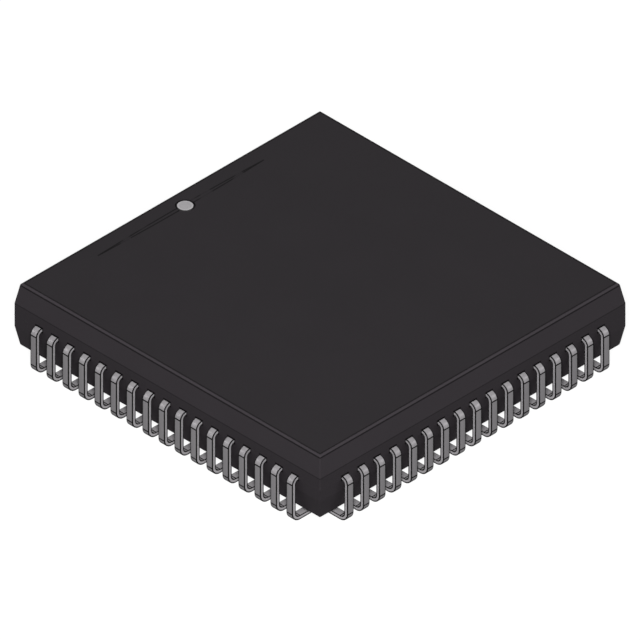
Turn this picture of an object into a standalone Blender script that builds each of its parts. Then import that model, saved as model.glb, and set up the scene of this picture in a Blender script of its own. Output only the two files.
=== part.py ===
"""A plastic leaded chip carrier (PLCC) with 68 J-leads, seventeen a side.

The origin is the centre of the seating plane that the lead feet stand on, +Z is up, and the
pin 1 mark lies on the +Y side. Each size below can be set by itself, and the rest follows:
the rows of leads set where the pockets lie, the pockets set the leads' bends, and the leads
set how wide the moulding is.
"""
import math

import bmesh
import bpy
from mathutils import Matrix, Vector

MM = 0.001

# Leads: a formed strip that leaves the moulding, turns down, turns in underneath and curls up
LEADS_PER_SIDE = 17
LEAD_PITCH = 1.27 * MM
LEAD_WIDTH = 0.46 * MM
LEAD_THICKNESS = 0.25 * MM
LEAD_GAP = 0.20 * MM            # air between the moulding's side and the upright of a lead
EXIT_DEPTH = 0.64 * MM          # from the upper edge of the upright band down to the top of a lead
SHOULDER_INSIDE_RADIUS = 0.20 * MM
FOOT_INSIDE_RADIUS = 0.35 * MM
FOOT_FLAT = 0.87 * MM           # straight length of the foot that is soldered to the board
TIP_INSIDE_RADIUS = 0.15 * MM
TIP_IN_POCKET = 0.30 * MM       # height of the tip above the moulding's underside
BEND_STEPS = 4

# Pockets in the underside that the lead tips curl up into
POCKET_CLEARANCE = 0.10 * MM    # beside the tip, all round
POCKET_HEADROOM = 0.15 * MM     # above the tip
CORNER_WALL = 0.13 * MM         # between the end pockets of two rows

# Moulding: an upright band between two drafted halves
STANDOFF = 0.77 * MM            # seating plane to the underside
LOWER_HEIGHT = 1.37 * MM
BAND_HEIGHT = 1.54 * MM
UPPER_HEIGHT = 1.37 * MM
DRAFT = math.radians(10)
CORNER_RADIUS = 0.06 * MM
EDGE_RADIUS = 0.18 * MM
CORNER_STEPS = 3
EDGE_STEPS = 3

# Pin 1 mark: a disc of light ink in a shallow round dimple
MARK_DIAMETER = 0.97 * MM
MARK_FROM_EDGE = 1.05 * MM      # from the side edge of the flat top to the mark's centre
MARK_THICKNESS = 0.08 * MM
MARK_BEVEL = 0.03 * MM
MARK_CLEARANCE = 0.01 * MM      # between the ink and the dimple, under it and round it
MARK_BELOW_TOP = 0.01 * MM
MARK_SIDES = 40

# Round marks that the ejector pins of the mould leave in the underside
EJECTOR_DEPTH = 0.08 * MM
CENTRE_EJECTOR_DIAMETER = 5.0 * MM
CORNER_EJECTOR_DIAMETER = 2.0 * MM
CORNER_EJECTOR_FROM_POCKETS = 2.4 * MM
EJECTOR_SIDES = 32

# Places along a side and out from the middle
ROW_HALF = (LEADS_PER_SIDE - 1) * LEAD_PITCH / 2
POCKET_HALF_WIDTH = LEAD_WIDTH / 2 + POCKET_CLEARANCE
POCKET_INNER = ROW_HALF + POCKET_HALF_WIDTH + CORNER_WALL
TIP_INNER_FACE = POCKET_INNER + POCKET_CLEARANCE
POCKET_OUTER = TIP_INNER_FACE + LEAD_THICKNESS + POCKET_CLEARANCE
TIP_RADIUS = TIP_INSIDE_RADIUS + LEAD_THICKNESS
FOOT_RADIUS = FOOT_INSIDE_RADIUS + LEAD_THICKNESS
SHOULDER_RADIUS = SHOULDER_INSIDE_RADIUS + LEAD_THICKNESS
FOOT_END = TIP_INNER_FACE + TIP_RADIUS
LEAD_OUTSIDE = FOOT_END + FOOT_FLAT + FOOT_RADIUS
BODY_HALF = LEAD_OUTSIDE - LEAD_THICKNESS - LEAD_GAP
LEAD_ROOT = BODY_HALF - LEAD_THICKNESS

# Heights above the seating plane
TIP_TOP = STANDOFF + TIP_IN_POCKET
POCKET_TOP = TIP_TOP + POCKET_HEADROOM
BAND_BOTTOM = STANDOFF + LOWER_HEIGHT
BAND_TOP = BAND_BOTTOM + BAND_HEIGHT
EXIT_TOP = BAND_TOP - EXIT_DEPTH
BODY_TOP = BAND_TOP + UPPER_HEIGHT
MARK_TOP = BODY_TOP - MARK_BELOW_TOP
MARK_BOTTOM = MARK_TOP - MARK_THICKNESS

# Material slots of the moulding and its leads
EPOXY = 0
TIN = 1

SHARP_ANGLE = math.radians(40)


def clear_scene():
    """Empties the open file, so that the script can run in any scene."""
    for old in list(bpy.data.objects):
        bpy.data.objects.remove(old, do_unlink=True)


def make_material(name, colour, roughness, metallic):
    """A Principled material with the colour and gloss of one finish."""
    material = bpy.data.materials.new(name)
    material.use_nodes = True
    shader = material.node_tree.nodes["Principled BSDF"]
    shader.inputs["Base Color"].default_value = (*colour, 1.0)
    shader.inputs["Roughness"].default_value = roughness
    shader.inputs["Metallic"].default_value = metallic
    material.diffuse_color = (*colour, 1.0)
    return material


def make_object(name, bm, materials):
    """Turns a finished mesh into a named object with outward faces and its materials."""
    bmesh.ops.recalc_face_normals(bm, faces=bm.faces)
    mesh = bpy.data.meshes.new(name)
    bm.to_mesh(mesh)
    bm.free()
    for material in materials:
        mesh.materials.append(material)
    obj = bpy.data.objects.new(name, mesh)
    bpy.context.scene.collection.objects.link(obj)
    return obj


def shade_bends(obj):
    """Smooth shading over the round forms, sharp at the real edges."""
    obj.data.shade_smooth()
    obj.data.set_sharp_from_angle(angle=SHARP_ANGLE)


def loft(bm, rings, material_index=EPOXY):
    """Joins rings of points with a skin of quads and closes both ends."""
    rows = [[bm.verts.new(point) for point in ring] for ring in rings]
    faces = [bm.faces.new(rows[0]), bm.faces.new(rows[-1])]
    for below, above in zip(rows, rows[1:]):
        for i in range(len(below)):
            j = (i + 1) % len(below)
            faces.append(bm.faces.new((below[i], below[j], above[j], above[i])))
    for face in faces:
        face.material_index = material_index


def drafted_half(height):
    """Levels of one half of the moulding as (half width, rise) pairs, away from the band."""
    centre_up = height - EDGE_RADIUS
    centre_out = BODY_HALF - (EDGE_RADIUS + centre_up * math.sin(DRAFT)) / math.cos(DRAFT)
    levels = [(BODY_HALF, 0.0)]
    for step in range(EDGE_STEPS + 1):
        angle = DRAFT + (math.pi / 2 - DRAFT) * step / EDGE_STEPS
        half = centre_out + EDGE_RADIUS * math.cos(angle)
        levels.append((half, centre_up + EDGE_RADIUS * math.sin(angle)))
    return levels


def rounded_square(half, up):
    """One level of the moulding: a square with its corners rounded, at one height."""
    points = []
    for quarter in range(4):
        turn = Matrix.Rotation(quarter * math.pi / 2, 3, "Z")
        centre = Vector((half - CORNER_RADIUS, half - CORNER_RADIUS, up))
        for step in range(CORNER_STEPS + 1):
            angle = math.pi / 2 * step / CORNER_STEPS
            edge = Vector((math.cos(angle), math.sin(angle), 0.0)) * CORNER_RADIUS
            points.append(turn @ (centre + edge))
    return points


def build_moulding(materials):
    """The epoxy body: two drafted halves that meet at an upright band."""
    lower = [(half, BAND_BOTTOM - rise) for half, rise in reversed(drafted_half(LOWER_HEIGHT))]
    upper = [(half, BAND_TOP + rise) for half, rise in drafted_half(UPPER_HEIGHT)]
    bm = bmesh.new()
    loft(bm, [rounded_square(half, up) for half, up in lower + upper])
    return make_object("moulded_body", bm, materials)


def lead_edge(inset):
    """One long edge of a lead's side view, as (out, up) points, inset from its outer skin."""
    bends = (
        (LEAD_OUTSIDE - SHOULDER_RADIUS, EXIT_TOP - SHOULDER_RADIUS, SHOULDER_RADIUS, math.pi / 2),
        (LEAD_OUTSIDE - FOOT_RADIUS, FOOT_RADIUS, FOOT_RADIUS, 0.0),
        (FOOT_END, TIP_RADIUS, TIP_RADIUS, -math.pi / 2),
    )
    points = [(LEAD_ROOT, EXIT_TOP - inset)]
    for centre_out, centre_up, radius, start in bends:
        for step in range(BEND_STEPS + 1):
            angle = start - math.pi / 2 * step / BEND_STEPS
            out = centre_out + (radius - inset) * math.cos(angle)
            points.append((out, centre_up + (radius - inset) * math.sin(angle)))
    points.append((TIP_INNER_FACE + inset, TIP_TOP))
    return points


def lead_places():
    """The turn and the place along its side of every lead, side by side round the body."""
    for side in range(4):
        turn = Matrix.Rotation(side * math.pi / 2, 3, "Z")
        for number in range(LEADS_PER_SIDE):
            yield turn, number * LEAD_PITCH - ROW_HALF


def build_leads(materials):
    """All the J-leads, each a rectangular strip swept round its three bends."""
    stations = list(zip(lead_edge(0.0), lead_edge(LEAD_THICKNESS)))
    half = LEAD_WIDTH / 2
    bm = bmesh.new()
    for turn, along in lead_places():
        rings = []
        for outer, inner in stations:
            corners = ((outer, -half), (outer, half), (inner, half), (inner, -half))
            rings.append([turn @ Vector((out, along + across, up)) for (out, up), across in corners])
        loft(bm, rings, TIN)
    leads = make_object("j_leads", bm, materials)
    shade_bends(leads)
    return leads


def build_pocket_cutter(materials):
    """A box for each pocket, from the seating plane to over the lead's tip."""
    bm = bmesh.new()
    for turn, along in lead_places():
        corners = (
            (POCKET_INNER, along - POCKET_HALF_WIDTH),
            (POCKET_OUTER, along - POCKET_HALF_WIDTH),
            (POCKET_OUTER, along + POCKET_HALF_WIDTH),
            (POCKET_INNER, along + POCKET_HALF_WIDTH),
        )
        loft(bm, [[turn @ Vector((x, y, up)) for x, y in corners] for up in (0.0, POCKET_TOP)])
    return make_object("pocket_cutter", bm, materials)


def disc_ring(radius, centre_x, centre_y, up, sides):
    """A ring of points round an upright axis."""
    ring = []
    for i in range(sides):
        angle = 2 * math.pi * i / sides
        ring.append(Vector((centre_x + radius * math.cos(angle), centre_y + radius * math.sin(angle), up)))
    return ring


def build_ejector_cutter(materials):
    """Discs for the ejector pin marks: one in the middle and one towards each corner."""
    reach = POCKET_INNER - CORNER_EJECTOR_FROM_POCKETS
    marks = [(CENTRE_EJECTOR_DIAMETER, 0.0, 0.0)]
    for x_sign in (-1, 1):
        for y_sign in (-1, 1):
            marks.append((CORNER_EJECTOR_DIAMETER, x_sign * reach, y_sign * reach))
    bm = bmesh.new()
    for diameter, x, y in marks:
        levels = (0.0, STANDOFF + EJECTOR_DEPTH)
        loft(bm, [disc_ring(diameter / 2, x, y, up, EJECTOR_SIDES) for up in levels])
    return make_object("ejector_cutter", bm, materials)


def mark_centre_y():
    """Distance of the pin 1 mark from the middle of the body, measured in from the top's edge."""
    flat_half = drafted_half(UPPER_HEIGHT)[-1][0]
    return flat_half - MARK_FROM_EDGE


def build_dimple_cutter(materials):
    """A disc that sinks the dimple for the pin 1 mark into the top."""
    radius = MARK_DIAMETER / 2 + MARK_CLEARANCE
    levels = (MARK_BOTTOM - MARK_CLEARANCE, BODY_TOP + UPPER_HEIGHT)
    bm = bmesh.new()
    loft(bm, [disc_ring(radius, 0.0, mark_centre_y(), up, MARK_SIDES) for up in levels])
    return make_object("dimple_cutter", bm, materials)


def build_pin_1_mark(material):
    """The disc of ink, with its upper rim rounded off by the way the drop dries."""
    radius = MARK_DIAMETER / 2
    profile = ((radius, MARK_BOTTOM), (radius, MARK_TOP - MARK_BEVEL), (radius - MARK_BEVEL, MARK_TOP))
    bm = bmesh.new()
    loft(bm, [disc_ring(r, 0.0, mark_centre_y(), up, MARK_SIDES) for r, up in profile])
    shade_bends(make_object("pin_1_mark", bm, [material]))


def apply_tool(body, tool, operation):
    """Cuts or joins the body with a tool body that is itself left out of the part."""
    tool.hide_render = True
    tool.display_type = "WIRE"
    boolean = body.modifiers.new(tool.name, "BOOLEAN")
    boolean.object = tool
    boolean.operation = operation
    boolean.solver = "EXACT"


def build_part():
    """Builds the chip carrier: the moulding with its leads, and the pin 1 mark."""
    clear_scene()
    epoxy = make_material("moulded_epoxy", (0.031, 0.027, 0.031), 0.62, 0.0)
    tin = make_material("tin_plate", (0.42, 0.42, 0.43), 0.38, 0.85)
    ink = make_material("mark_ink", (0.36, 0.35, 0.36), 0.7, 0.0)
    finishes = [epoxy, tin]
    body = build_moulding(finishes)
    apply_tool(body, build_pocket_cutter(finishes), "DIFFERENCE")
    apply_tool(body, build_ejector_cutter(finishes), "DIFFERENCE")
    apply_tool(body, build_dimple_cutter(finishes), "DIFFERENCE")
    apply_tool(body, build_leads(finishes), "UNION")
    build_pin_1_mark(ink)


build_part()
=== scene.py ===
"""Looks of a plastic leaded chip carrier in a plain white studio.

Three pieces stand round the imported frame: the epoxy moulding, its 68 J-leads and the pin 1 mark.
The frame gives the overall sizes, and the sizes below repeat the construction's own.
"""

import math

import bmesh
import bpy
from mathutils import Matrix, Vector


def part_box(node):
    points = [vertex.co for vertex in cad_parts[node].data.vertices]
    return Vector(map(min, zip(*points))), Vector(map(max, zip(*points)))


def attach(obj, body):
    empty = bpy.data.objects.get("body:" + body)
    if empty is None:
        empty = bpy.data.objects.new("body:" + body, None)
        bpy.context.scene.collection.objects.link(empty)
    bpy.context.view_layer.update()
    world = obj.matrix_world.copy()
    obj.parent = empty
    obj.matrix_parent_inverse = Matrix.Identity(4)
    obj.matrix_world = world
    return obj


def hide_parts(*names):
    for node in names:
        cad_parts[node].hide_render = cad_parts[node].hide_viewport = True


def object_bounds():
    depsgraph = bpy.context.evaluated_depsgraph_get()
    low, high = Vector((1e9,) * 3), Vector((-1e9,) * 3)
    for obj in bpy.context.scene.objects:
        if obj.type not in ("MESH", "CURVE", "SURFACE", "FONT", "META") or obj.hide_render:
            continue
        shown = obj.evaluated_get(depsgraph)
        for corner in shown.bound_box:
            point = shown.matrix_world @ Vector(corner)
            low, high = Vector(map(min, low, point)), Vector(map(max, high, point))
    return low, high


MM = 0.001
SIDES = 4
QUARTER_TURN = math.pi / 2

# Leads
LEADS_PER_SIDE = 17
LEAD_PITCH = 1.27 * MM
LEAD_WIDTH = 0.46 * MM
LEAD_THICKNESS = 0.25 * MM
LEAD_GAP = 0.20 * MM            # between the moulding's band and the upright of a lead
EXIT_DEPTH = 0.64 * MM          # from the top of the band down to the leads
SHOULDER_INSIDE_RADIUS = 0.20 * MM
FOOT_INSIDE_RADIUS = 0.35 * MM
TIP_INSIDE_RADIUS = 0.15 * MM
TIP_IN_POCKET = 0.30 * MM       # how far a tip stands up in its pocket
LEAD_EDGE_RADIUS = 0.03 * MM
LEAD_EDGE_STEPS = 3
BEND_STEPS = 10
LEAD_TONE_SEED = 7

# Pockets under the moulding
POCKET_CLEARANCE = 0.10 * MM
POCKET_HEADROOM = 0.15 * MM
CORNER_WALL = 0.13 * MM         # between the end pockets of two sides

# Moulding
STANDOFF = 0.77 * MM
LOWER_HEIGHT = 1.37 * MM
BAND_HEIGHT = 1.54 * MM
DRAFT = math.radians(10)
CORNER_RADIUS = 0.06 * MM
EDGE_RADIUS = 0.18 * MM
CORNER_STEPS = 6
EDGE_STEPS = 8
HIGHLIGHT_STEPS = slice(3, -2)       # the levels of a rounded edge that get a painted highlight
HAIRLINE = 0.055 * MM           # half width of the painted shade lines at the ends of the moulding's faces
PARTING_FLASH = 0.010 * MM      # height of the ridge where the two halves of the mould met
SAME_PLACE = 0.01 * MM          # places that are closer than this count as one
SMOOTH_BELOW = math.radians(35)

# Round marks in the moulding
EJECTOR_DEPTH = 0.08 * MM
CENTRE_EJECTOR_DIAMETER = 5.0 * MM
CORNER_EJECTOR_DIAMETER = 2.0 * MM
CORNER_EJECTOR_FROM_POCKETS = 2.4 * MM
DIMPLE_RIM = 0.095 * MM         # bare ring between the ink and the wall of its dimple
DIMPLE_FLOOR = 0.01 * MM        # between the ink and the floor of its dimple
INK_RIM = 0.05 * MM
INK_RIM_STEPS = 5
ROUND_SIDES = 96

# Faint line that the mould left across the top, through the dimple: a very flat lens
SCAR_MIDDLE_X = -0.35 * MM
SCAR_HALF_LENGTH = 6.6 * MM
SCAR_HALF_HEIGHT = 0.12 * MM
SCAR_HALF_WIDTH = 0.052 * MM
SCAR_LEFT = 0.20                # what is left of it between two of its dashes
DASHES_BEGIN = (0.40, 0.50)     # the values of its noise between which a dash begins

# Painted shade: a dark ring in the band round each lead, where it leaves the moulding
EXIT_RING = 0.08 * MM

# Marks on a lead: what its tools leave, and painted light and shade. The widths of the dark edges, which are
# painted shade, are given above the foot and on it.
BURR = 0.02 * MM                # what shears and plating add to the strip, its outer skin left out
OUTER_EDGE_LINE = (0.080 * MM, 0.130 * MM)
INNER_EDGE_LINE = (0.110 * MM, 0.055 * MM)
TOOL_LINE = 0.055 * MM          # half width of the dark lines across the strip: the painted shade where it leaves the moulding, and the lines that the forming tool leaves
FOOT_BEND_SHADE_HALF = 0.20 * MM           # half width of the painted shade in the middle of the foot's bend
SHOULDER_HIGHLIGHT_LEFT = 0.42             # what is left of the painted highlight on the lower half of the shoulder

# Places in a lead's thickness, from -1 on its outer skin to 1 on its inner skin
SKINS_MEET = (-0.1, 0.1)
INNER_SKIN_BEGINS = (0.6, 0.9)

# Places on the ink, as shares of its radius
PALE_INK_BEGINS = (0.70, 0.82)
# where the painted shade at the ink's edge begins
INK_SHADE_BEGINS = (0.92, 0.97)

# Colours, as linear values
EPOXY = (0.0230, 0.0202, 0.0228)
TIN = (0.240, 0.231, 0.240)
INK = (0.342, 0.332, 0.342)
TIN_SHINE_TINT = (0.4, 0.4, 0.4, 1.0)
WHITE = (1.0, 1.0, 1.0, 1.0)

# Tones of the marks, as shares of the colour round them
# Painted light: the sides below the top's rounded edge are painted lighter than the top, the upper draft
# most
DRAFT_LIGHT_TONE = 1.38
BAND_LIGHT_TONE = 1.20
# Painted highlight along the top's rounded edge
RIM_TONE = 1.86
# Painted shade: dark lines at the ends of the moulding's faces, and the dimple's wall and floor painted dark
SHADE_LINE_AND_DIMPLE_TONE = 0.38
# Painted shade: a dark line along the crease at the top of the band
CREASE_SHADE_TONE = 0.50
SCAR_TONE = 0.18
# Painted shade round each lead where it leaves the band
EXIT_SHADE_TONE = 0.15
FILLER_TONE = 1.12
# Painted light: the flanks lighter than the broad faces
FLANK_LIGHT_TONE = 2.05
# Painted light: the inner skin lighter than the outer
INNER_SKIN_LIGHT_TONE = 1.70
# Painted shade along the lead's four edges
EDGE_TONE = 0.03
# Dark lines across the strip: painted shade where it leaves the moulding, and the forming tool's lines
EXIT_SHADE_AND_TOOL_LINE_TONE = 0.03
# Painted highlight on the shoulder's bend
SHOULDER_HIGHLIGHT_TONE = 1.72
# Painted shade in the middle of the foot's bend
FOOT_BEND_SHADE_TONE = 0.25
INK_RIM_TONE = 1.18
# Painted shade at the ink's edge
INK_EDGE_SHADE_TONE = 0.10

# Scales of the noises: a feature is about 1 / scale metres wide
EPOXY_GRAIN = 14000.0
EPOXY_FLOW = 260.0
EPOXY_FILLER = 30000.0
SCAR_DASHES = 1000.0
TIN_CRYSTALS = 16000.0
DRAWN_ALONG = 900.0
DRAWN_ACROSS = 5.0              # in one half of a lead's width
DRAWN_THROUGH = 3.0             # in one half of its thickness
DRAWN_SHIFT = 40.0              # keeps the leads' drawn lines apart
INK_COVER = 5000.0
INK_SPECKS = 24000.0

# Values and structure of the noises
NOISE_MIDDLE = (0.3, 0.7)       # most values of a noise lie between these
FILLER_BEGINS = (0.72, 0.80)    # the few above these are grains of filler
GRAINY = {"detail": 3.0, "roughness": 0.6}

# How far each noise takes the tone up and down
EPOXY_GRAIN_TONE = 0.03
EPOXY_FLOW_TONE = 0.02
TIN_DRAWN_TONE = 0.04
TIN_CRYSTAL_TONE = 0.03
LEAD_TONE = 0.03
INK_COVER_TONE = 0.03
INK_SPECK_TONE = 0.02

# Surfaces: least and most roughness, shine, and the strength and height of the relief
EPOXY_ROUGHNESS = (0.50, 0.60)
EPOXY_SHINE = 0.05
EPOXY_RELIEF = (0.35, 0.006 * MM)
TIN_ROUGHNESS = (0.38, 0.46)
TIN_EDGE_ROUGHER = 0.15         # what a dark edge adds
TIN_SHINE = 0.15
TIN_METAL = 0.30
TIN_RELIEF = (0.20, 0.004 * MM)
INK_ROUGHNESS = (0.62, 0.78)
INK_SHINE = 0.3
INK_RELIEF = (0.30, 0.005 * MM)

# Room
FLOOR_REACH = 2.0
FLOOR_ROUGHNESS = 0.9
FLOOR_GREY = 0.16               # what the floor sends back on the part
FLOOR_GLOW = 0.90               # what the camera sees in it on top of that
FLOOR_GLEAM = 0.25              # what a shiny surface sees in it on top of that
ROOM_LIGHT = 0.18

# Round soft lights: azimuth and elevation in degrees, width in metres, and watts
LIGHT_DISTANCE = 0.40
LIGHTS = {
    "camera_side_light": (-45, 36, 0.08, 1.80),
    "left_light": (-135, 25, 0.14, 0.28),
    "right_light": (45, 25, 0.14, 0.28),
    "back_light": (135, 25, 0.14, 0.15),
}

# Camera: level with the three equal axes of an isometric view
PHOTO_SIDE_PX = 640
PHOTO_WIDTH = 35.92 * MM
TOP_CENTRE_ROW_PX = 283.1       # the photograph's row with the middle of the moulding's top
CAMERA_ELEVATION = math.atan(math.sqrt(0.5))
CAMERA_DISTANCE = 0.2
NEAREST_SEEN = 0.001

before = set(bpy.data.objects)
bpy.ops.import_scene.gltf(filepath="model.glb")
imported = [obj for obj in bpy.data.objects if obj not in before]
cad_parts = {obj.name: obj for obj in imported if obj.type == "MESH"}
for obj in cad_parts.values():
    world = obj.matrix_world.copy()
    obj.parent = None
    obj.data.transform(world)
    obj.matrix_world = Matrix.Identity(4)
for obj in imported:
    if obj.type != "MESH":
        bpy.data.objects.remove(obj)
cad_low, cad_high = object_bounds()
mark_low, mark_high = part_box("pin_1_mark")

# Places worked out as the construction does, from the frame's overall size inwards
LEAD_OUTSIDE = cad_high.x
BODY_TOP = cad_high.z
MARK_RADIUS = (mark_high.x - mark_low.x) / 2
MARK_CENTRE_Y = (mark_high.y + mark_low.y) / 2
MARK_TOP = mark_high.z
MARK_BOTTOM = mark_low.z
BODY_HALF = LEAD_OUTSIDE - LEAD_THICKNESS - LEAD_GAP
LEAD_ROOT = BODY_HALF - LEAD_THICKNESS
ROW_HALF = (LEADS_PER_SIDE - 1) * LEAD_PITCH / 2
POCKET_HALF_WIDTH = LEAD_WIDTH / 2 + POCKET_CLEARANCE
POCKET_INNER = ROW_HALF + POCKET_HALF_WIDTH + CORNER_WALL
TIP_INNER_FACE = POCKET_INNER + POCKET_CLEARANCE
POCKET_OUTER = TIP_INNER_FACE + LEAD_THICKNESS + POCKET_CLEARANCE
TIP_TOP = STANDOFF + TIP_IN_POCKET
POCKET_TOP = TIP_TOP + POCKET_HEADROOM
BAND_BOTTOM = STANDOFF + LOWER_HEIGHT
BAND_TOP = BAND_BOTTOM + BAND_HEIGHT
UPPER_HEIGHT = BODY_TOP - BAND_TOP
EXIT_TOP = BAND_TOP - EXIT_DEPTH
PARTING_HEIGHT = EXIT_TOP - LEAD_THICKNESS / 2

# The strip of a lead with its burr, and the line along its middle
STRIP_WIDTH = LEAD_WIDTH + 2 * BURR
STRIP_THICKNESS = LEAD_THICKNESS + BURR
STRIP_HALF = STRIP_THICKNESS / 2
SHOULDER_RADIUS = SHOULDER_INSIDE_RADIUS + LEAD_THICKNESS - STRIP_HALF
FOOT_RADIUS = FOOT_INSIDE_RADIUS + LEAD_THICKNESS - STRIP_HALF
TIP_RADIUS = TIP_INSIDE_RADIUS + LEAD_THICKNESS - STRIP_HALF
STRIP_OUT = LEAD_OUTSIDE - STRIP_HALF
STRIP_TOP = EXIT_TOP - STRIP_HALF
STRIP_TIP = TIP_INNER_FACE + STRIP_HALF
STRIP_LOW = STRIP_HALF


class Wiring:
    """Adds nodes to one tree, where an input takes a plain value or another node's output."""

    def __init__(self, tree):
        self.tree = tree

    def feed(self, socket, value):
        """Sets a socket to a value, or links it to an output."""
        if isinstance(value, bpy.types.NodeSocket):
            self.tree.links.new(value, socket)
        else:
            socket.default_value = value

    def node(self, kind, feeds=None, **settings):
        """Adds a node, with its settings first and then its inputs by name or number."""
        made = self.tree.nodes.new(kind)
        for name, value in settings.items():
            setattr(made, name, value)
        for key, value in (feeds or {}).items():
            self.feed(made.inputs[key], value)
        return made

    def math(self, operation, *values):
        """Arithmetic on one to three values."""
        made = self.node("ShaderNodeMath", operation=operation)
        for socket, value in zip(made.inputs, values):
            self.feed(socket, value)
        return made.outputs[0]

    def apart(self, first, second):
        """How far two values lie apart."""
        return self.math("ABSOLUTE", self.math("SUBTRACT", first, second))

    def vector(self, x, y, z):
        """A vector from three values."""
        return self.node("ShaderNodeCombineXYZ", {0: x, 1: y, 2: z}).outputs[0]

    def parts(self, vector):
        """The three parts of a vector."""
        return self.node("ShaderNodeSeparateXYZ", {0: vector}).outputs

    def remap(self, value, low, high, to_low=0.0, to_high=1.0):
        """Takes a range of values smoothly to another, and holds still beyond it."""
        feeds = {"Value": value, "From Min": low, "From Max": high, "To Min": to_low, "To Max": to_high}
        made = self.node("ShaderNodeMapRange", feeds, interpolation_type="SMOOTHSTEP")
        return made.outputs["Result"]

    def line(self, apart, half_width):
        """1 along a line and 0 beside it, from the distance to it."""
        return self.remap(apart, half_width / 2, half_width, 1.0, 0.0)

    def below(self, up, level):
        """1 below a level and 0 above it."""
        return self.remap(up, level - SAME_PLACE, level + SAME_PLACE, 1.0, 0.0)

    def both(self, first, second):
        """1 where two shares are 1."""
        return self.math("MULTIPLY", first, second)

    def noise(self, place, scale, detail=2.0, roughness=0.5):
        """Seamless noise from 0 to 1."""
        feeds = {"Vector": place, "Scale": scale, "Detail": detail, "Roughness": roughness}
        return self.node("ShaderNodeTexNoise", feeds).outputs["Fac"]

    def spread(self, noise, low, high):
        """Takes the middle values of a noise to a range."""
        return self.remap(noise, *NOISE_MIDDLE, low, high)

    def uneven(self, *layers):
        """A tone of about 1, which each noise takes up and down by the share given with it."""
        tone = 1.0
        for noise, share in layers:
            tone = self.math("ADD", tone, self.spread(noise, -share, share))
        return tone

    def weigh(self, tone, share, factor):
        """Multiplies a tone by a factor where a share is 1, and by less where the share is less."""
        return self.math("MULTIPLY", tone, self.math("MULTIPLY_ADD", share, factor - 1.0, 1.0))

    def brighten(self, colour, factor):
        """Multiplies a colour by a number."""
        made = self.node("ShaderNodeVectorMath", operation="SCALE")
        self.feed(made.inputs[0], colour)
        self.feed(made.inputs["Scale"], factor)
        return made.outputs[0]

    def attribute(self, name, output="Fac"):
        """A value that the mesh carries at its points."""
        return self.node("ShaderNodeAttribute", attribute_name=name).outputs[output]

    def own_place(self):
        """Coordinates on the piece itself."""
        return self.node("ShaderNodeTexCoord").outputs["Object"]


def start_material(name, colour):
    """A named Principled material and the wiring of its tree."""
    material = bpy.data.materials.new(name)
    material.use_nodes = True
    material.diffuse_color = (*colour, 1.0)
    shader = material.node_tree.nodes["Principled BSDF"]
    return material, Wiring(material.node_tree), shader


def paint(wires, shader, colour, tone, marks):
    """Colours a surface by its tone, times each mark's own tone where the mark's share is 1."""
    for share, factor in marks:
        tone = wires.weigh(tone, share, factor)
    wires.feed(shader.inputs["Base Color"], wires.brighten(colour, tone))


def roughen(wires, shader, height, strength, depth):
    """Raises a fine relief on a surface."""
    feeds = {"Strength": strength, "Distance": depth, "Height": height}
    wires.feed(shader.inputs["Normal"], wires.node("ShaderNodeBump", feeds).outputs[0])


def mould_scar(wires, place):
    """The share of the faint lens-shaped line on the top face, broken here and there."""
    x, y, z = wires.parts(place)
    reach = wires.math("DIVIDE", wires.math("SUBTRACT", x, SCAR_MIDDLE_X), SCAR_HALF_LENGTH)
    arch = wires.math("SUBTRACT", 1.0, wires.math("MULTIPLY", reach, reach))
    to_axis = wires.apart(y, MARK_CENTRE_Y)
    to_line = wires.math("ABSOLUTE", wires.math("MULTIPLY_ADD", arch, -SCAR_HALF_HEIGHT, to_axis))
    within = wires.math("LESS_THAN", wires.math("ABSOLUTE", reach), 1.0)
    on_top = wires.math("GREATER_THAN", z, BODY_TOP - EDGE_RADIUS)
    scar = wires.both(wires.line(to_line, SCAR_HALF_WIDTH), wires.both(within, on_top))
    dashes = wires.remap(wires.noise(place, SCAR_DASHES), *DASHES_BEGIN, SCAR_LEFT, 1.0)
    return wires.both(scar, dashes)


def exit_shade_rings(wires, place):
    """The share of the painted shade ring in the band round each lead."""
    x, y, z = wires.parts(place)
    x_apart = wires.math("ABSOLUTE", x)
    y_apart = wires.math("ABSOLUTE", y)
    out = wires.math("MAXIMUM", x_apart, y_apart)
    along = wires.math("MINIMUM", x_apart, y_apart)
    beside = wires.math("SUBTRACT", wires.math("PINGPONG", along, LEAD_PITCH / 2), STRIP_WIDTH / 2)
    above = wires.math("SUBTRACT", wires.apart(z, STRIP_TOP), STRIP_HALF)
    ring = wires.line(wires.math("MAXIMUM", beside, above), EXIT_RING)
    in_row = wires.math("LESS_THAN", along, ROW_HALF + LEAD_PITCH / 2)
    on_band = wires.math("GREATER_THAN", out, BODY_HALF - SAME_PLACE)
    return wires.both(ring, wires.both(in_row, on_band))


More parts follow.
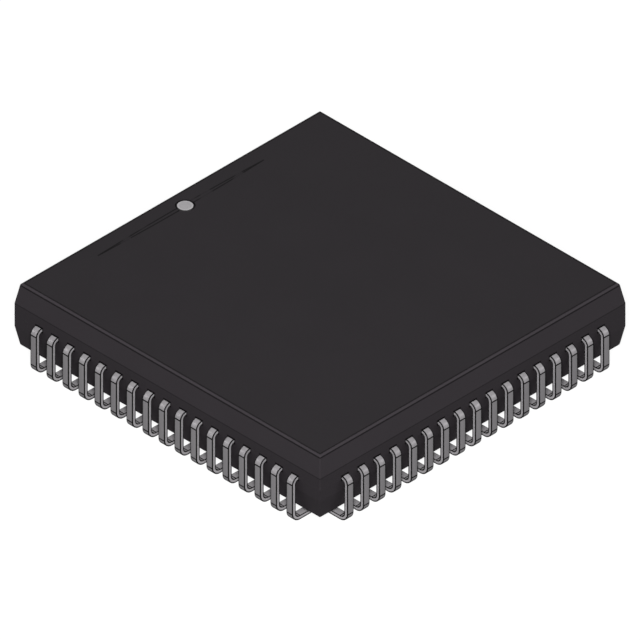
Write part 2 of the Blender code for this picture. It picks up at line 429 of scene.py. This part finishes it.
def finish_epoxy():
    """Filled epoxy as it leaves the mould: near black and matt, with a fine eroded grain."""
    material, wires, shader = start_material("epoxy_moulding", EPOXY)
    place = wires.own_place()
    up = wires.parts(place)[2]
    grain = wires.noise(place, EPOXY_GRAIN, **GRAINY)
    flow = wires.noise(place, EPOXY_FLOW)
    filler = wires.noise(place, EPOXY_FILLER, detail=0.0)
    tone = wires.uneven((grain, EPOXY_GRAIN_TONE), (flow, EPOXY_FLOW_TONE))
    marks = (
        (wires.remap(filler, *FILLER_BEGINS), FILLER_TONE),
        # painted light: the sides lighter than the top, the upper draft more than the band and the lower
        # draft
        (wires.below(up, BODY_TOP - EDGE_RADIUS), DRAFT_LIGHT_TONE),
        (wires.below(up, BAND_TOP), BAND_LIGHT_TONE / DRAFT_LIGHT_TONE),
        # painted highlight along the top's rounded edge
        (wires.attribute("rim"), RIM_TONE),
        # a painted shade line along the crease at the top of the band
        (wires.attribute("crease"), CREASE_SHADE_TONE),
        # painted shade lines at the ends of the faces, and painted shade in the dimple
        (wires.attribute("shade_lines_and_dimple"), SHADE_LINE_AND_DIMPLE_TONE),
        (mould_scar(wires, place), SCAR_TONE),
        # painted shade round each lead where it leaves the band
        (exit_shade_rings(wires, place), EXIT_SHADE_TONE),
    )
    paint(wires, shader, EPOXY, tone, marks)
    wires.feed(shader.inputs["Roughness"], wires.spread(grain, *EPOXY_ROUGHNESS))
    shader.inputs["Specular IOR Level"].default_value = EPOXY_SHINE
    roughen(wires, shader, grain, *EPOXY_RELIEF)
    return material


def strip_marks():
    """Lengths along a lead: where it leaves the moulding, and where its bends start and end."""
    shoulder = STRIP_OUT - SHOULDER_RADIUS - LEAD_ROOT
    upright = shoulder + QUARTER_TURN * SHOULDER_RADIUS
    foot = upright + STRIP_TOP - SHOULDER_RADIUS - STRIP_LOW - FOOT_RADIUS
    flat = foot + QUARTER_TURN * FOOT_RADIUS
    tip = flat + STRIP_OUT - FOOT_RADIUS - STRIP_TIP - TIP_RADIUS
    return BODY_HALF - LEAD_ROOT, shoulder, upright, foot, flat, tip


def shoulder_highlight(wires, along, start, end):
    """The share of the painted highlight on the shoulder's bend, which fades towards the bend's middle."""
    begun = wires.remap(along, start - TOOL_LINE, start + TOOL_LINE)
    ended = wires.remap(along, end - TOOL_LINE, end + TOOL_LINE, 1.0, 0.0)
    fading = wires.remap(along, start, (start + end) / 2, 1.0, SHOULDER_HIGHLIGHT_LEFT)
    return wires.both(wires.both(begun, ended), fading)


def foot_bend_shade(wires, along, start, end):
    """The share of the painted shade in the middle of the foot's bend."""
    to_middle = wires.apart(along, (start + end) / 2)
    return wires.remap(to_middle, FOOT_BEND_SHADE_HALF - TOOL_LINE, FOOT_BEND_SHADE_HALF, 1.0, 0.0)


def exit_shade_and_tool_lines(wires, along, lengths):
    """The share of the dark lines across the strip: painted shade where it leaves the moulding, and the
    lines that the forming tool leaves at its bends.
    """
    dark_across = 0.0
    for length in lengths:
        dark_across = wires.math("MAXIMUM", dark_across, wires.line(wires.apart(along, length), TOOL_LINE))
    return dark_across


def to_rim(wires, share, half):
    """The distance to a strip's rim, from the share of the half width or half thickness."""
    return wires.math("MULTIPLY", wires.math("SUBTRACT", 1.0, wires.math("ABSOLUTE", share)), half)


def strip_edges(wires, across, on_foot):
    """The shares of a strip's sheared flanks, which get painted light, and of the painted shade along its
    four edges.
    """
    to_side = to_rim(wires, across[0], STRIP_WIDTH / 2)
    to_face = to_rim(wires, across[1], STRIP_HALF)
    flank = wires.remap(to_side, 0.0, LEAD_EDGE_RADIUS, 1.0, 0.0)
    outer, inner = (
        wires.math("MULTIPLY_ADD", on_foot, foot - above, above)
        for above, foot in (OUTER_EDGE_LINE, INNER_EDGE_LINE)
    )
    width = wires.remap(across[1], *SKINS_MEET, outer, inner)
    share = wires.math("DIVIDE", wires.math("ADD", to_side, to_face), width)
    return flank, wires.line(share, 1.0)


def drawn_lines(wires, along, across, own):
    """Noise that is stretched along the strip, as drawing stretches the metal's grain."""
    place = wires.vector(
        wires.math("MULTIPLY", along, DRAWN_ALONG),
        wires.math("MULTIPLY", across[0], DRAWN_ACROSS),
        wires.math("MULTIPLY_ADD", own, DRAWN_SHIFT, wires.math("MULTIPLY", across[1], DRAWN_THROUGH)),
    )
    return wires.noise(place, 1.0, **GRAINY)


def finish_tin():
    """Matt tin over the strip: grey and drawn lengthways, with painted light on its flanks, its inner skin
    and its shoulder's bend, and painted shade on its foot's bend and along its edges.
    """
    material, wires, shader = start_material("tin_plate", TIN)
    along = wires.attribute("along")
    across = wires.parts(wires.attribute("section", "Vector"))
    own = wires.attribute("lead_tone")
    lengths = strip_marks()
    _, shoulder, upright, foot, flat, _ = lengths
    flank, edge = strip_edges(wires, across, wires.remap(along, foot, flat))
    broad = wires.math("SUBTRACT", 1.0, flank)
    inner_skin = wires.remap(across[1], *INNER_SKIN_BEGINS)
    drawn = drawn_lines(wires, along, across, own)
    crystals = wires.noise(wires.own_place(), TIN_CRYSTALS, **GRAINY)
    tone = wires.uneven((drawn, TIN_DRAWN_TONE), (crystals, TIN_CRYSTAL_TONE))
    tone = wires.math("ADD", tone, wires.remap(own, 0.0, 1.0, -LEAD_TONE, LEAD_TONE))
    marks = (
        # painted light on the flanks
        (flank, FLANK_LIGHT_TONE),
        # painted highlight on the shoulder's bend
        (wires.both(broad, shoulder_highlight(wires, along, shoulder, upright)), SHOULDER_HIGHLIGHT_TONE),
        # painted shade in the middle of the foot's bend
        (wires.both(broad, foot_bend_shade(wires, along, foot, flat)), FOOT_BEND_SHADE_TONE),
        # painted light on the inner skin
        (wires.both(broad, inner_skin), INNER_SKIN_LIGHT_TONE),
        # painted shade where the lead leaves the moulding, and the forming tool's lines
        (wires.both(broad, exit_shade_and_tool_lines(wires, along, lengths)), EXIT_SHADE_AND_TOOL_LINE_TONE),
        # painted shade along the four edges
        (edge, EDGE_TONE),
    )
    paint(wires, shader, TIN, tone, marks)
    rough = wires.spread(crystals, *TIN_ROUGHNESS)
    wires.feed(shader.inputs["Roughness"], wires.math("MULTIPLY_ADD", edge, TIN_EDGE_ROUGHER, rough))
    shader.inputs["Metallic"].default_value = TIN_METAL
    shader.inputs["Specular IOR Level"].default_value = TIN_SHINE
    shader.inputs["Specular Tint"].default_value = TIN_SHINE_TINT
    roughen(wires, shader, wires.math("ADD", crystals, drawn), *TIN_RELIEF)
    return material


def finish_ink():
    """Light grey marking ink: matt, a little uneven, paler where it gathered, and painted dark at its edge
    as shade where it meets its dimple.
    """
    material, wires, shader = start_material("marking_ink", INK)
    place = wires.own_place()
    cover = wires.noise(place, INK_COVER, **GRAINY)
    specks = wires.noise(place, INK_SPECKS)
    centre = (0.0, MARK_CENTRE_Y, MARK_TOP)
    from_centre = wires.node("ShaderNodeVectorMath", {0: place, 1: centre}, operation="DISTANCE")
    out = wires.math("DIVIDE", from_centre.outputs["Value"], MARK_RADIUS)
    tone = wires.uneven((cover, INK_COVER_TONE), (specks, INK_SPECK_TONE))
    marks = (
        (wires.remap(out, *PALE_INK_BEGINS), INK_RIM_TONE),
        # painted shade at the ink's edge
        (wires.remap(out, *INK_SHADE_BEGINS), INK_EDGE_SHADE_TONE),
    )
    paint(wires, shader, INK, tone, marks)
    wires.feed(shader.inputs["Roughness"], wires.spread(specks, *INK_ROUGHNESS))
    shader.inputs["Specular IOR Level"].default_value = INK_SHINE
    roughen(wires, shader, cover, *INK_RELIEF)
    return material


def mesh_object(name, bm):
    """A finished mesh as a named object with outward faces."""
    bmesh.ops.recalc_face_normals(bm, faces=bm.faces)
    mesh = bpy.data.meshes.new(name)
    bm.to_mesh(mesh)
    bm.free()
    obj = bpy.data.objects.new(name, mesh)
    bpy.context.scene.collection.objects.link(obj)
    return obj


def loft(bm, rings):
    """Joins rings of points with a skin of quads and closes both ends."""
    rows = [[bm.verts.new(point) for point in ring] for ring in rings]
    bm.faces.new(rows[0])
    bm.faces.new(rows[-1])
    for below, above in zip(rows, rows[1:]):
        for i in range(len(below)):
            j = (i + 1) % len(below)
            bm.faces.new((below[i], below[j], above[j], above[i]))


def disc_ring(radius, centre_x, centre_y, up):
    """A ring of points round an upright axis."""
    ring = []
    for i in range(ROUND_SIDES):
        angle = 2 * math.pi * i / ROUND_SIDES
        ring.append(Vector((centre_x + radius * math.cos(angle), centre_y + radius * math.sin(angle), up)))
    return ring


def bake_modifiers(obj):
    """Makes the evaluated shape the object's own mesh and takes its modifiers off."""
    depsgraph = bpy.context.evaluated_depsgraph_get()
    mesh = bpy.data.meshes.new_from_object(obj.evaluated_get(depsgraph))
    mesh.name = obj.name
    obj.modifiers.clear()
    obj.data = mesh


def shade(obj, material):
    """Smooth rounds beside flat faces, and one material."""
    obj.data.shade_smooth()
    obj.data.set_sharp_from_angle(angle=SMOOTH_BELOW)
    weighted = obj.modifiers.new("flat_faces_stay_flat", "WEIGHTED_NORMAL")
    weighted.keep_sharp = True
    bake_modifiers(obj)
    obj.data.materials.clear()
    obj.data.materials.append(material)


def drafted_half(height):
    """Half of the moulding as (half width, rise) pairs away from the band: its draft, round and flat."""
    centre_up = height - EDGE_RADIUS
    centre_out = BODY_HALF - (EDGE_RADIUS + centre_up * math.sin(DRAFT)) / math.cos(DRAFT)
    crease = Vector((BODY_HALF, 0.0))
    lean = Vector((-math.sin(DRAFT), math.cos(DRAFT)))
    tangent = Vector((centre_out + EDGE_RADIUS * math.cos(DRAFT), centre_up + EDGE_RADIUS * math.sin(DRAFT)))
    draft = [(BODY_HALF, 0.0), crease + lean * HAIRLINE, tangent - lean * HAIRLINE / 2]
    rounded = []
    for step in range(EDGE_STEPS + 1):
        angle = DRAFT + (QUARTER_TURN - DRAFT) * step / EDGE_STEPS
        half = centre_out + EDGE_RADIUS * math.cos(angle)
        rounded.append((half, centre_up + EDGE_RADIUS * math.sin(angle)))
    flat = [(centre_out - HAIRLINE / 2, height), (centre_out - HAIRLINE * 3 / 2, height)]
    return draft, rounded, flat


def parting_levels():
    """Levels of the upright band, with the fine ridge of the mould's parting line in it."""
    ridge = HAIRLINE / 2
    return [
        (BODY_HALF, BAND_BOTTOM + HAIRLINE),
        (BODY_HALF, PARTING_HEIGHT - ridge),
        (BODY_HALF + PARTING_FLASH, PARTING_HEIGHT),
        (BODY_HALF, PARTING_HEIGHT + ridge),
        (BODY_HALF, BAND_TOP - HAIRLINE),
    ]


def rounded_square(half, up):
    """One level of the moulding: a square with its corners rounded, at one height."""
    points = []
    for side in range(SIDES):
        turn = Matrix.Rotation(side * QUARTER_TURN, 3, "Z")
        centre = Vector((half - CORNER_RADIUS, half - CORNER_RADIUS, up))
        for step in range(CORNER_STEPS + 1):
            angle = QUARTER_TURN * step / CORNER_STEPS
            edge = Vector((math.cos(angle), math.sin(angle), 0.0)) * CORNER_RADIUS
            points.append(turn @ (centre + edge))
    return points


def lead_places():
    """The turn and the place along its side of every lead."""
    for side in range(SIDES):
        turn = Matrix.Rotation(side * QUARTER_TURN, 3, "Z")
        for number in range(LEADS_PER_SIDE):
            yield turn, number * LEAD_PITCH - ROW_HALF


def pocket_tool():
    """A box for each pocket that a lead's tip curls up into."""
    bm = bmesh.new()
    for turn, along in lead_places():
        corners = (
            (POCKET_INNER, along - POCKET_HALF_WIDTH),
            (POCKET_OUTER, along - POCKET_HALF_WIDTH),
            (POCKET_OUTER, along + POCKET_HALF_WIDTH),
            (POCKET_INNER, along + POCKET_HALF_WIDTH),
        )
        loft(bm, [[turn @ Vector((x, y, up)) for x, y in corners] for up in (0.0, POCKET_TOP)])
    return mesh_object("pocket_tool", bm)


def ejector_tool():
    """Discs for the marks of the ejector pins, one in the middle and one towards each corner."""
    reach = POCKET_INNER - CORNER_EJECTOR_FROM_POCKETS
    marks = [(CENTRE_EJECTOR_DIAMETER, 0.0, 0.0)]
    for x_sign in (-1, 1):
        for y_sign in (-1, 1):
            marks.append((CORNER_EJECTOR_DIAMETER, x_sign * reach, y_sign * reach))
    bm = bmesh.new()
    for diameter, x, y in marks:
        loft(bm, [disc_ring(diameter / 2, x, y, up) for up in (0.0, STANDOFF + EJECTOR_DEPTH)])
    return mesh_object("ejector_tool", bm)


def dimple_tool():
    """A disc that sinks the dimple of the pin 1 mark."""
    bm = bmesh.new()
    levels = (MARK_BOTTOM - DIMPLE_FLOOR, BODY_TOP + UPPER_HEIGHT)
    loft(bm, [disc_ring(MARK_RADIUS + DIMPLE_RIM, 0.0, MARK_CENTRE_Y, up) for up in levels])
    return mesh_object("dimple_tool", bm)


def cut(body, tool):
    """Takes a tool's shape out of the body."""
    boolean = body.modifiers.new(tool.name, "BOOLEAN")
    boolean.object = tool
    boolean.operation = "DIFFERENCE"
    boolean.solver = "EXACT"


def half_through(x, y):
    """Half width of the rounded square that a point lies on."""
    wide, narrow = max(abs(x), abs(y)), min(abs(x), abs(y))
    if narrow <= wide - CORNER_RADIUS:
        return wide
    total = wide + narrow
    under_root = total**2 - 2 * (wide**2 + narrow**2 - CORNER_RADIUS**2)
    return (total - math.sqrt(max(under_root, 0.0))) / 2 + CORNER_RADIUS


def lies_on(spot, levels):
    """1 if a spot is on one of the moulding's levels, or 0."""
    return float(any(math.dist(spot, level) < SAME_PLACE for level in levels))


def mark_levels(body):
    """Stores which points get painted light or shade in the epoxy's tone: a highlight on a rounded edge,
    shade lines and the shade in the dimple, and a shade line on the crease.
    """
    rim, shade_lines_and_dimple, crease = (
        body.data.attributes.new(name, "FLOAT", "POINT") for name in ("rim", "shade_lines_and_dimple", "crease")
    )
    _, rounded, flat = drafted_half(UPPER_HEIGHT)
    lines = [*rounded[:2], rounded[-1], flat[0]]
    flat_edge = flat[-1][0]
    for i, vertex in enumerate(body.data.vertices):
        half, up = half_through(vertex.co.x, vertex.co.y), vertex.co.z
        spot = (half, up - BAND_TOP)
        # the dimple's wall and floor, which get painted shade
        in_dimple = BAND_TOP < up < BODY_TOP - SAME_PLACE and half < flat_edge
        rim.data[i].value = lies_on(spot, rounded[HIGHLIGHT_STEPS])
        shade_lines_and_dimple.data[i].value = 1.0 if in_dimple else lies_on(spot, lines)
        crease.data[i].value = float(abs(up - BAND_TOP) < SAME_PLACE)


def build_moulding():
    """The epoxy body with its pockets, ejector marks and dimple."""
    lower = [level for part in drafted_half(LOWER_HEIGHT) for level in part]
    upper = [level for part in drafted_half(UPPER_HEIGHT) for level in part]
    levels = [(half, BAND_BOTTOM - rise) for half, rise in reversed(lower)]
    levels += parting_levels()
    levels += [(half, BAND_TOP + rise) for half, rise in upper]
    bm = bmesh.new()
    loft(bm, [rounded_square(half, up) for half, up in levels])
    body = mesh_object("moulding", bm)
    tools = [pocket_tool(), ejector_tool(), dimple_tool()]
    for tool in tools:
        cut(body, tool)
    bake_modifiers(body)
    for tool in tools:
        bpy.data.objects.remove(tool)
    mark_levels(body)
    shade(body, finish_epoxy())
    return body


def add_inputs(tree, sizes):
    """Adds a named input for each size to a tree. Returns what each gets, by the input's identifier."""
    values = {}
    for name, value in sizes.items():
        kind = "NodeSocketInt" if isinstance(value, int) else "NodeSocketFloat"
        socket = tree.interface.new_socket(name, in_out="INPUT", socket_type=kind)
        values[socket.identifier] = value
    return values


def lead_rows_tree(material):
    """A geometry tree that forms the rows of J-leads. Returns it and the values of its inputs."""
    tree = bpy.data.node_groups.new("lead_rows", "GeometryNodeTree")
    tree.interface.new_socket("Leads", in_out="OUTPUT", socket_type="NodeSocketGeometry")
    sizes = {
        "Leads per side": LEADS_PER_SIDE,
        "Pitch": LEAD_PITCH,
        "Width": STRIP_WIDTH,
        "Thickness": STRIP_THICKNESS,
        "Root": LEAD_ROOT,
        "Outside": STRIP_OUT,
        "Tip": STRIP_TIP,
        "Exit height": STRIP_TOP,
        "Foot height": STRIP_LOW,
        "Tip height": TIP_TOP,
        "Shoulder radius": SHOULDER_RADIUS,
        "Foot radius": FOOT_RADIUS,
        "Tip radius": TIP_RADIUS,
        "Edge radius": LEAD_EDGE_RADIUS,
        "Seed": LEAD_TONE_SEED,
    }
    values = add_inputs(tree, sizes)
    wires = Wiring(tree)
    size = tree.nodes.new("NodeGroupInput").outputs
    lead = form_one_lead(wires, size)
    rows = set_round_the_sides(wires, size, lead)
    painted = wires.node("GeometryNodeSetMaterial", {"Geometry": rows, "Material": material})
    wires.feed(tree.nodes.new("NodeGroupOutput").inputs[0], painted.outputs[0])
    return tree, values


def choose_by_index(wires, kind, *choices):
    """One of several values, picked by a point's number."""
    made = wires.node("GeometryNodeIndexSwitch", data_type=kind)
    while len(made.index_switch_items) < len(choices):
        made.index_switch_items.new()
    wires.feed(made.inputs["Index"], wires.node("GeometryNodeInputIndex").outputs[0])
    for socket, value in zip(list(made.inputs)[1:], choices):
        wires.feed(socket, value)
    return made.outputs[0]


def store(wires, geometry, name, value, kind="FLOAT", domain="POINT"):
    """Keeps a value on the geometry under a name that the material reads."""
    feeds = {"Geometry": geometry, "Name": name}
    made = wires.node("GeometryNodeStoreNamedAttribute", feeds, data_type=kind, domain=domain)
    sockets = [socket for socket in made.inputs if socket.name == "Value" and socket.enabled]
    wires.feed(sockets[0], value)
    return made.outputs[0]


def round_off(wires, curve, steps, radius):
    """Rounds the corners of a curve with short straight steps."""
    feeds = {"Curve": curve, "Count": steps, "Radius": radius}
    return wires.node("GeometryNodeFilletCurve", feeds, mode="POLY").outputs[0]


def lead_path(wires, size):
    """The line along the middle of a lead, bent at the shoulder, foot and tip."""
    corners = (
        wires.vector(size["Root"], 0.0, size["Exit height"]),
        wires.vector(size["Outside"], 0.0, size["Exit height"]),
        wires.vector(size["Outside"], 0.0, size["Foot height"]),
        wires.vector(size["Tip"], 0.0, size["Foot height"]),
        wires.vector(size["Tip"], 0.0, size["Tip height"]),
    )
    radii = (0.0, size["Shoulder radius"], size["Foot radius"], size["Tip radius"], 0.0)
    line = wires.node("GeometryNodeMeshLine", {"Count": len(corners)}, mode="OFFSET").outputs[0]
    line = wires.node("GeometryNodeMeshToCurve", {"Mesh": line}).outputs[0]
    place = choose_by_index(wires, "VECTOR", *corners)
    line = wires.node("GeometryNodeSetPosition", {"Geometry": line, "Position": place}).outputs[0]
    bent = round_off(wires, line, BEND_STEPS, choose_by_index(wires, "FLOAT", *radii))
    travelled = wires.node("GeometryNodeSplineParameter").outputs["Length"]
    return store(wires, bent, "along", travelled)


def lead_section(wires, size):
    """The section of the strip with its edges eased, as wide and thick as the strip is."""
    feeds = {"Width": size["Width"], "Height": size["Thickness"]}
    outline = wires.node("GeometryNodeCurvePrimitiveQuadrilateral", feeds, mode="RECTANGLE").outputs[0]
    eased = round_off(wires, outline, LEAD_EDGE_STEPS, size["Edge radius"])
    spot = wires.parts(wires.node("GeometryNodeInputPosition").outputs[0])
    share = wires.vector(
        wires.math("DIVIDE", spot[0], wires.math("MULTIPLY", size["Width"], 0.5)),
        wires.math("DIVIDE", spot[1], wires.math("MULTIPLY", size["Thickness"], 0.5)),
        0.0,
    )
    return store(wires, eased, "section", share, "FLOAT_VECTOR")


def form_one_lead(wires, size):
    """A strip with eased edges, swept along its bent line."""
    feeds = {"Curve": lead_path(wires, size), "Profile Curve": lead_section(wires, size), "Fill Caps": True}
    return wires.node("GeometryNodeCurveToMesh", feeds).outputs[0]


def set_round_the_sides(wires, size, lead):
    """Copies of a lead at its pitch along each of the four sides, each with a tone of its own."""
    per_side = size["Leads per side"]
    index = wires.node("GeometryNodeInputIndex").outputs[0]
    number = wires.math("MODULO", index, per_side)
    side = wires.math("FLOOR", wires.math("DIVIDE", index, per_side))
    turn = wires.vector(0.0, 0.0, wires.math("MULTIPLY", side, QUARTER_TURN))
    middle = wires.math("MULTIPLY", wires.math("SUBTRACT", per_side, 1.0), 0.5)
    along = wires.math("MULTIPLY", wires.math("SUBTRACT", number, middle), size["Pitch"])
    feeds = {"Vector": wires.vector(0.0, along, 0.0), "Rotation": turn}
    place = wires.node("ShaderNodeVectorRotate", feeds, rotation_type="EULER_XYZ").outputs[0]
    feeds = {"Count": wires.math("MULTIPLY", per_side, SIDES), "Position": place}
    points = wires.node("GeometryNodePoints", feeds).outputs[0]
    feeds = {"Points": points, "Instance": lead, "Rotation": turn}
    copies = wires.node("GeometryNodeInstanceOnPoints", feeds).outputs[0]
    own = wires.node("FunctionNodeRandomValue", {"Seed": size["Seed"]}, data_type="FLOAT").outputs[1]
    toned = store(wires, copies, "lead_tone", own, domain="INSTANCE")
    return wires.node("GeometryNodeRealizeInstances", {"Geometry": toned}).outputs[0]


def build_leads():
    """All the J-leads as one plain mesh."""
    material = finish_tin()
    tree, values = lead_rows_tree(material)
    leads = bpy.data.objects.new("j_leads", bpy.data.meshes.new("j_leads"))
    bpy.context.scene.collection.objects.link(leads)
    rows = leads.modifiers.new("lead_rows", "NODES")
    rows.node_group = tree
    for identifier, value in values.items():
        rows[identifier] = value
    bake_modifiers(leads)
    shade(leads, material)
    return leads


def build_ink():
    """The dot of ink, rounded off at its rim."""
    profile = [(MARK_RADIUS, MARK_BOTTOM)]
    for step in range(INK_RIM_STEPS + 1):
        angle = QUARTER_TURN * step / INK_RIM_STEPS
        out = MARK_RADIUS - INK_RIM + INK_RIM * math.cos(angle)
        profile.append((out, MARK_TOP - INK_RIM / 2 + INK_RIM / 2 * math.sin(angle)))
    bm = bmesh.new()
    loft(bm, [disc_ring(out, 0.0, MARK_CENTRE_Y, up) for out, up in profile])
    ink = mesh_object("pin_1_ink", bm)
    shade(ink, finish_ink())
    return ink


def build_floor():
    """A wide white floor that keeps a soft shadow."""
    bm = bmesh.new()
    bmesh.ops.create_grid(bm, x_segments=1, y_segments=1, size=FLOOR_REACH)
    floor = mesh_object("floor", bm)
    grey = (FLOOR_GREY, FLOOR_GREY, FLOOR_GREY)
    material, wires, shader = start_material("white_floor", grey)
    shader.inputs["Base Color"].default_value = (*grey, 1.0)
    shader.inputs["Roughness"].default_value = FLOOR_ROUGHNESS
    shader.inputs["Specular IOR Level"].default_value = 0.0
    shader.inputs["Emission Color"].default_value = WHITE
    rays = wires.node("ShaderNodeLightPath").outputs
    mirrored = wires.math("MAXIMUM", rays["Is Glossy Ray"], rays["Is Transmission Ray"])
    glow = wires.math("MULTIPLY", rays["Is Camera Ray"], FLOOR_GLOW)
    glow = wires.math("ADD", glow, wires.math("MULTIPLY", mirrored, FLOOR_GLEAM))
    wires.feed(shader.inputs["Emission Strength"], glow)
    floor.data.materials.append(material)


def light_room():
    """An even room: white where it is seen, and a plain level of light everywhere else."""
    world = bpy.data.worlds.new("room")
    bpy.context.scene.world = world
    world.use_nodes = True
    wires = Wiring(world.node_tree)
    background = world.node_tree.nodes["Background"]
    background.inputs["Color"].default_value = WHITE
    seen = wires.node("ShaderNodeLightPath").outputs["Is Camera Ray"]
    strength = wires.math("ADD", ROOM_LIGHT, wires.math("MULTIPLY", seen, 1.0 - ROOM_LIGHT))
    wires.feed(background.inputs["Strength"], strength)


def add_softbox(name, azimuth, elevation, width, watts):
    """A round soft light aimed at the part. Azimuth 0 is on the -Y side and 90 on the +X side."""
    a, e = math.radians(azimuth), math.radians(elevation)
    away = Vector((math.sin(a) * math.cos(e), -math.cos(a) * math.cos(e), math.sin(e)))
    lamp = bpy.data.lights.new(name, "AREA")
    lamp.shape = "DISK"
    lamp.size = width
    lamp.energy = watts
    holder = bpy.data.objects.new(name, lamp)
    holder.location = away * LIGHT_DISTANCE
    holder.rotation_euler = away.to_track_quat("Z", "Y").to_euler()
    holder.visible_camera = False
    bpy.context.scene.collection.objects.link(holder)


def set_camera():
    """A parallel view from the corner between the -X and -Y sides, framed as the photograph is."""
    back = Vector((-1.0, -1.0, math.sqrt(2.0) * math.tan(CAMERA_ELEVATION))).normalized()
    rise_per_px = PHOTO_WIDTH / PHOTO_SIDE_PX / math.cos(CAMERA_ELEVATION)
    aim_up = BODY_TOP - (PHOTO_SIDE_PX / 2 - TOP_CENTRE_ROW_PX) * rise_per_px
    camera = bpy.data.objects.new("camera", bpy.data.cameras.new("camera"))
    camera.data.type = "ORTHO"
    camera.data.ortho_scale = PHOTO_WIDTH
    camera.data.clip_start = NEAREST_SEEN
    camera.location = Vector((0.0, 0.0, aim_up)) + back * CAMERA_DISTANCE
    camera.rotation_euler = back.to_track_quat("Z", "Y").to_euler()
    bpy.context.scene.collection.objects.link(camera)
    bpy.context.scene.camera = camera


set_camera()
light_room()
for light_name, light_settings in LIGHTS.items():
    add_softbox(light_name, *light_settings)
build_floor()

moulding = build_moulding()
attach(moulding, "root")
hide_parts("moulded_body")

j_leads = build_leads()
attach(j_leads, "root")
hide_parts("moulded_body")

pin_1_ink = build_ink()
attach(pin_1_ink, "root")
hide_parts("pin_1_mark")

bpy.context.scene.view_settings.view_transform = "Standard"
